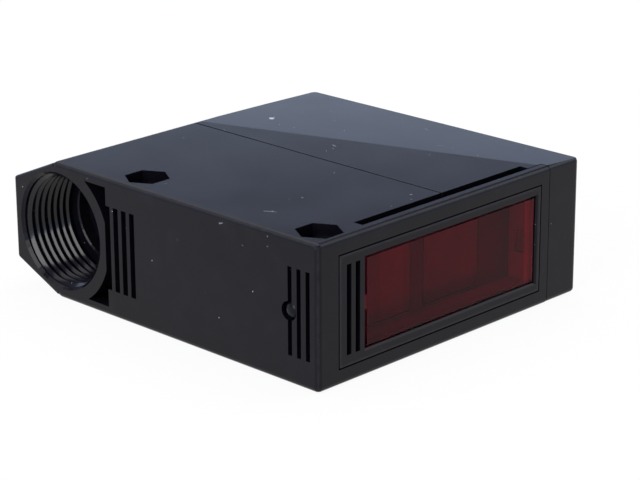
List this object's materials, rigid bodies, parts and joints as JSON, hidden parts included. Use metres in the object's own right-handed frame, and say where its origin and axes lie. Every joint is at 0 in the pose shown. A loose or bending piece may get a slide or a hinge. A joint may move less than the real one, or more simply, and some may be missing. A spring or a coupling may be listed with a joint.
{
  "type": "retroreflective photoelectric sensor",
  "caption": "Slim black plastic retroreflective photoelectric sensor with a red front window, mounting holes, a threaded conduit inlet and a screwed lid.",
  "frame": {"origin": "under the middle of the part's box, on the surface that the broad side lies on", "axes": "+X out of the red window, -Y out of the base with the conduit inlet, +Y to the lid, +Z through the thickness"},
  "size_m": [0.075, 0.065, 0.025],
  "materials": {
    "black_abs": "fine moulded grain, dusty",
    "window_red": "clear dark red, glossy",
    "inner_black": "matt black",
    "clear_acrylic": "clear, polished",
    "grey_film": "smooth grey film",
    "smoked_acrylic": "dark, polished",
    "seal_rubber": "matt",
    "zinc_steel": "zinc plated",
    "board_laminate": "green solder mask",
    "red_led": "red epoxy",
    "green_led": "green epoxy",
    "grey_plastic": "satin",
    "aluminium_can": "satin",
    "trimmer_blue": "satin",
    "white_nylon": "satin"
  },
  "bodies": {
    "sensor": {"housing": "black_abs", "lid": "black_abs", "lid_screw": "zinc_steel", "lid_gasket": "seal_rubber", "front_panel": "black_abs", "window": "window_red", "lens_holder": "inner_black", "emitter_lens": "clear_acrylic", "receiver_lens": "clear_acrylic", "emitter_polariser": "grey_film", "receiver_polariser": "grey_film", "optics_board": "board_laminate", "emitter_led": "red_led", "receiver_photodiode": "inner_black", "indicator_led": "green_led", "status_light": "smoked_acrylic", "light_guide": "clear_acrylic", "main_board": "board_laminate", "relay": "inner_black", "capacitor": "aluminium_can", "terminal_block": "grey_plastic", "terminal_screw_1": "zinc_steel", "terminal_screw_2": "zinc_steel", "terminal_screw_3": "zinc_steel", "terminal_screw_4": "zinc_steel", "terminal_screw_5": "zinc_steel", "control_board": "board_laminate", "sensitivity_trimmer": "trimmer_blue", "mode_selector": "inner_black"},
    "rotor": {"sensitivity_rotor": "white_nylon"},
    "slider": {"mode_slider": "white_nylon"}
  },
  "joints": [
    {"name": "sensitivity_turn", "type": "hinge", "parent": "sensor", "child": "rotor", "pos_m": [0.013, 0.02807, 0.0085], "axis": [0, 1, 0], "range_deg": [-135, 135]},
    {"name": "mode_slide", "type": "slide", "parent": "sensor", "child": "slider", "axis": [-1, 0, 0], "range_m": [0, 0.002]}
  ]
}
